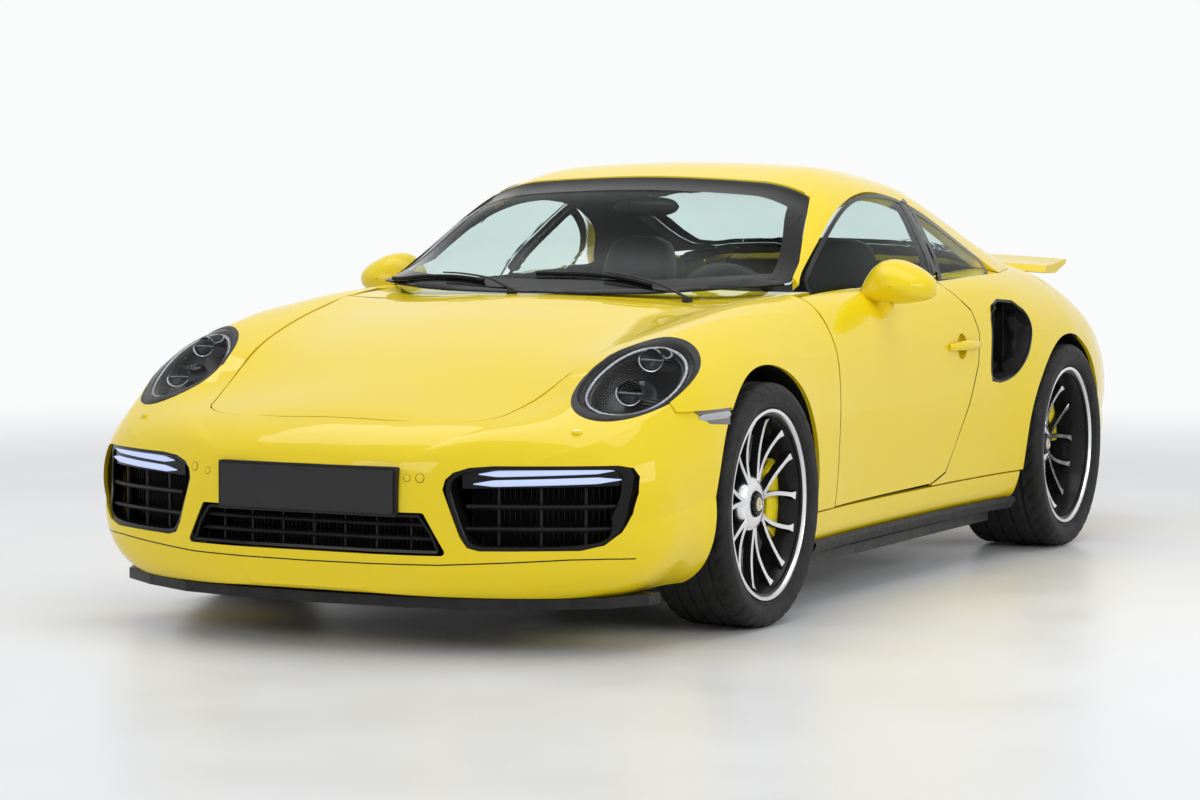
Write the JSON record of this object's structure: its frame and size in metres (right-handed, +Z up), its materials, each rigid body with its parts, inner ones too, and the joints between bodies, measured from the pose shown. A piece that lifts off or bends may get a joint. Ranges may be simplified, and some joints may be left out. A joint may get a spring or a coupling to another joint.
{
  "type": "coupe car",
  "caption": "Low two-door rear-engined coupe with wide rear haunches, oval leaning headlamps and a raised rear wing.",
  "frame": {"origin": "on the ground, midway between the ends and between the sides", "axes": "+Z up, nose towards -Y, the left side of the car towards +X"},
  "size_m": [1.9664, 4.515, 1.2907],
  "materials": {
    "paint": "gloss",
    "glass": "clear",
    "lamp_red": "clear",
    "lamp_white": "clear",
    "lamp_amber": "clear",
    "black_plastic": "moulded",
    "plate": "blank",
    "steel": "satin",
    "iron": "machined",
    "caliper": "gloss",
    "alloy": "machined and black",
    "tyre": "moulded",
    "trim": "grained",
    "leather": "fine grain"
  },
  "bodies": {
    "body_shell": {"front_bumper": "paint", "front_fender_left": "paint", "front_fender_right": "paint", "cowl": "paint", "roof_panel": "paint", "roof_rails": "paint", "rear_quarter_left": "paint", "rear_quarter_right": "paint", "rear_bumper": "paint", "quarter_glass": "glass", "windscreen": "glass", "rear_glass": "glass", "headlamp_lenses": "glass", "rear_lamps": "lamp_red", "daytime_lamps": "lamp_white", "headlamp_units": "lamp_white", "marker_lamps": "lamp_amber", "side_intakes": "black_plastic", "side_sills": "black_plastic", "front_grilles": "black_plastic", "front_lip": "black_plastic", "plate_holder": "black_plastic", "rear_deck": "black_plastic", "wheel_liners": "black_plastic", "luggage_tub": "black_plastic", "interior_mirror": "black_plastic", "number_plate": "plate", "underbody": "steel", "hinge_brackets": "steel", "exhaust": "steel", "front_axle": "steel", "rear_axle": "steel", "engine_block": "alloy", "dashboard": "trim", "front_seats": "leather", "rear_seats": "leather"},
    "hood": {"hood": "paint"},
    "engine_lid": {"engine_lid": "paint"},
    "wing": {"rear_wing": "paint"},
    "door_left": {"door_left": "paint", "door_glass_left": "glass", "door_mirror_left": "paint"},
    "door_right": {"door_right": "paint", "door_glass_right": "glass", "door_mirror_right": "paint"},
    "steering_wheel": {"steering_wheel": "trim"},
    "front_left_steer": {"front_knuckle_left": "caliper"},
    "front_right_steer": {"front_knuckle_right": "caliper"},
    "front_left_wheel": {"tyre_front_left": "tyre", "rim_front_left": "alloy", "brake_disc_front_left": "iron"},
    "front_right_wheel": {"tyre_front_right": "tyre", "rim_front_right": "alloy", "brake_disc_front_right": "iron"},
    "rear_left_wheel": {"tyre_rear_left": "tyre", "rim_rear_left": "alloy", "brake_disc_rear_left": "iron"},
    "rear_right_wheel": {"tyre_rear_right": "tyre", "rim_rear_right": "alloy", "brake_disc_rear_right": "iron"}
  },
  "joints": [
    {"name": "hood_hinge", "type": "hinge", "parent": "body_shell", "child": "hood", "pos_m": [0, -0.9845, 0.87206], "axis": [-1, 0, 0], "range_deg": [0, 60]},
    {"name": "engine_lid_hinge", "type": "hinge", "parent": "body_shell", "child": "engine_lid", "pos_m": [0, 1.3895, 0.96935], "axis": [1, 0, 0], "range_deg": [0, 60]},
    {"name": "wing_lift", "type": "slide", "parent": "engine_lid", "child": "wing", "axis": [0, 0, 1], "range_m": [0, 0.075]},
    {"name": "door_left_hinge", "type": "hinge", "parent": "body_shell", "child": "door_left", "pos_m": [0.836, -0.6395, 0.56], "axis": [0, 0, -1], "range_deg": [0, 65]},
    {"name": "door_right_hinge", "type": "hinge", "parent": "body_shell", "child": "door_right", "pos_m": [-0.836, -0.6395, 0.56], "axis": [0, 0, 1], "range_deg": [0, 65]},
    {"name": "steer_left", "type": "hinge", "parent": "body_shell", "child": "front_left_steer", "pos_m": [0.714, -1.2585, 0.338], "axis": [0, 0, 1], "range_deg": [-35, 35]},
    {"name": "steer_right", "type": "hinge", "parent": "body_shell", "child": "front_right_steer", "pos_m": [-0.714, -1.2585, 0.338], "axis": [0, 0, 1], "range_deg": [-35, 35]},
    {"name": "steering_wheel_turn", "type": "hinge", "parent": "body_shell", "child": "steering_wheel", "pos_m": [0.36, -0.3535, 0.8], "axis": [0, -0.9135, -0.4067], "range_deg": [-530, 530]},
    {"name": "front_left_roll", "type": "hinge", "parent": "front_left_steer", "child": "front_left_wheel", "pos_m": [0.77, -1.2585, 0.338], "axis": [1, 0, 0], "continuous": true},
    {"name": "front_right_roll", "type": "hinge", "parent": "front_right_steer", "child": "front_right_wheel", "pos_m": [-0.77, -1.2585, 0.338], "axis": [1, 0, 0], "continuous": true},
    {"name": "rear_left_roll", "type": "hinge", "parent": "body_shell", "child": "rear_left_wheel", "pos_m": [0.784, 1.1915, 0.344], "axis": [1, 0, 0], "continuous": true},
    {"name": "rear_right_roll", "type": "hinge", "parent": "body_shell", "child": "rear_right_wheel", "pos_m": [-0.784, 1.1915, 0.344], "axis": [1, 0, 0], "continuous": true}
  ],
  "couplings": [
    {"joint": "steer_right", "follows": "steer_left", "ratio": 1},
    {"joint": "steering_wheel_turn", "follows": "steer_left", "ratio": -15}
  ]
}
